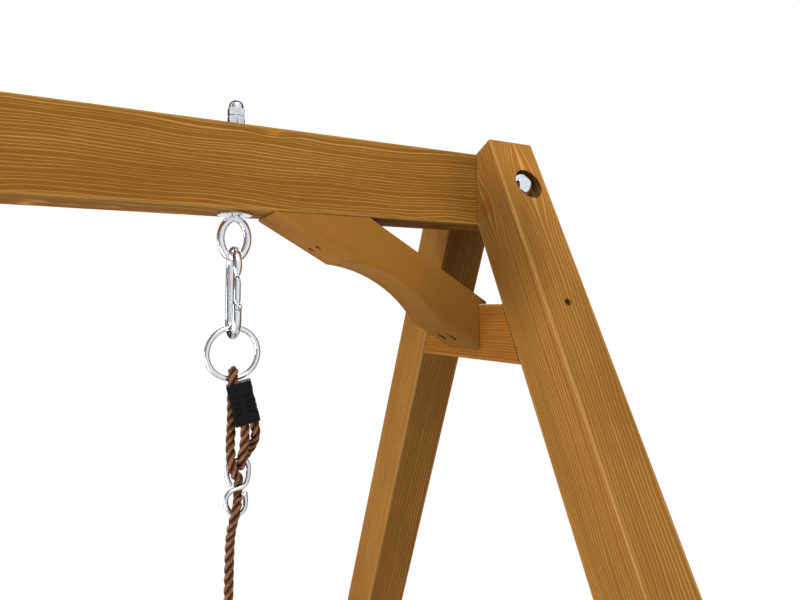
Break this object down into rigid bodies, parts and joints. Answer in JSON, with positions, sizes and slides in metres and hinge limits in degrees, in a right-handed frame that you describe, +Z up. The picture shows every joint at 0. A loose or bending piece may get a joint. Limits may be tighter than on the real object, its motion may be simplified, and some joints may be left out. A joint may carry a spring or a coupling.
{
  "type": "swing set",
  "caption": "Timber A-frame swing set: splayed legs, beam, curved knee braces, and a board seat on ropes hung by eye bolts, snap hooks and rings, with rope adjusters.",
  "frame": {"origin": "on the floor, under the middle of the beam", "axes": "+X along the beam, +Z up, -Y towards the side the bolt heads are on"},
  "size_m": [1.2, 1.8376, 1.9321],
  "materials": {
    "timber": "stained softwood with visible grain, satin",
    "zinc_steel": "bright zinc plating",
    "rope": "twisted synthetic rope, slightly shiny fibres",
    "clamp_plastic": "black, fine satin"
  },
  "bodies": {
    "frame": {"top_beam": "timber", "leg_front_right": "timber", "crossbar_screw_front_right": "zinc_steel", "bolt_washer_front_right": "zinc_steel", "leg_back_right": "timber", "crossbar_screw_back_right": "zinc_steel", "bolt_washer_back_right": "zinc_steel", "crossbar_right": "timber", "knee_brace_right": "timber", "brace_screw_right_1": "zinc_steel", "brace_screw_right_2": "zinc_steel", "brace_screw_right_3": "zinc_steel", "brace_screw_right_4": "zinc_steel", "frame_bolt_right": "zinc_steel", "frame_nut_right": "zinc_steel", "eye_bolt_right": "zinc_steel", "eye_washer_right": "zinc_steel", "nut_washer_right": "zinc_steel", "lock_nut_right": "zinc_steel", "cap_nut_right": "zinc_steel", "leg_front_left": "timber", "crossbar_screw_front_left": "zinc_steel", "bolt_washer_front_left": "zinc_steel", "leg_back_left": "timber", "crossbar_screw_back_left": "zinc_steel", "bolt_washer_back_left": "zinc_steel", "crossbar_left": "timber", "knee_brace_left": "timber", "brace_screw_left_1": "zinc_steel", "brace_screw_left_2": "zinc_steel", "brace_screw_left_3": "zinc_steel", "brace_screw_left_4": "zinc_steel", "frame_bolt_left": "zinc_steel", "frame_nut_left": "zinc_steel", "eye_bolt_left": "zinc_steel", "eye_washer_left": "zinc_steel", "nut_washer_left": "zinc_steel", "lock_nut_left": "zinc_steel", "cap_nut_left": "zinc_steel"},
    "hook_right": {"snap_hook_right": "zinc_steel", "gate_pin_right": "zinc_steel"},
    "gate_right": {"hook_gate_right": "zinc_steel"},
    "ring_right": {"ring_right": "zinc_steel"},
    "hook_left": {"snap_hook_left": "zinc_steel", "gate_pin_left": "zinc_steel"},
    "gate_left": {"hook_gate_left": "zinc_steel"},
    "ring_left": {"ring_left": "zinc_steel"},
    "swing": {"seat_board": "timber", "rope_right": "rope", "rope_clamp_front_right": "clamp_plastic", "rope_clamp_back_right": "clamp_plastic", "rope_adjuster_right": "zinc_steel", "seat_clamp_right": "clamp_plastic", "rope_left": "rope", "rope_clamp_front_left": "clamp_plastic", "rope_clamp_back_left": "clamp_plastic", "rope_adjuster_left": "zinc_steel", "seat_clamp_left": "clamp_plastic"}
  },
  "joints": [
    {"name": "hook_swing_right", "type": "hinge", "parent": "frame", "child": "hook_right", "pos_m": [0.219, 0, 1.748], "axis": [1, 0, 0], "range_deg": [-50, 50]},
    {"name": "gate_hinge_right", "type": "hinge", "parent": "hook_right", "child": "gate_right", "pos_m": [0.219, -0.0175, 1.694], "axis": [1, 0, 0], "range_deg": [-22, 0], "stiffness_Nm_per_rad": 0.12, "springref_deg": 20.05},
    {"name": "ring_tilt_right", "type": "hinge", "parent": "hook_right", "child": "ring_right", "pos_m": [0.219, 0, 1.6711], "axis": [1, 0, 0], "range_deg": [-20, 20]},
    {"name": "hook_swing_left", "type": "hinge", "parent": "frame", "child": "hook_left", "pos_m": [-0.219, 0, 1.748], "axis": [1, 0, 0], "range_deg": [-50, 50]},
    {"name": "gate_hinge_left", "type": "hinge", "parent": "hook_left", "child": "gate_left", "pos_m": [-0.219, -0.0175, 1.694], "axis": [1, 0, 0], "range_deg": [-22, 0], "stiffness_Nm_per_rad": 0.12, "springref_deg": 20.05},
    {"name": "ring_tilt_left", "type": "hinge", "parent": "hook_left", "child": "ring_left", "pos_m": [-0.219, 0, 1.6711], "axis": [1, 0, 0], "range_deg": [-20, 20]},
    {"name": "rope_tilt", "type": "hinge", "parent": "ring_right", "child": "swing", "pos_m": [0.219, 0, 1.6151], "axis": [1, 0, 0], "range_deg": [-20, 20]}
  ],
  "couplings": [
    {"joint": "hook_swing_left", "follows": "hook_swing_right", "ratio": 1},
    {"joint": "ring_tilt_left", "follows": "ring_tilt_right", "ratio": 1}
  ]
}
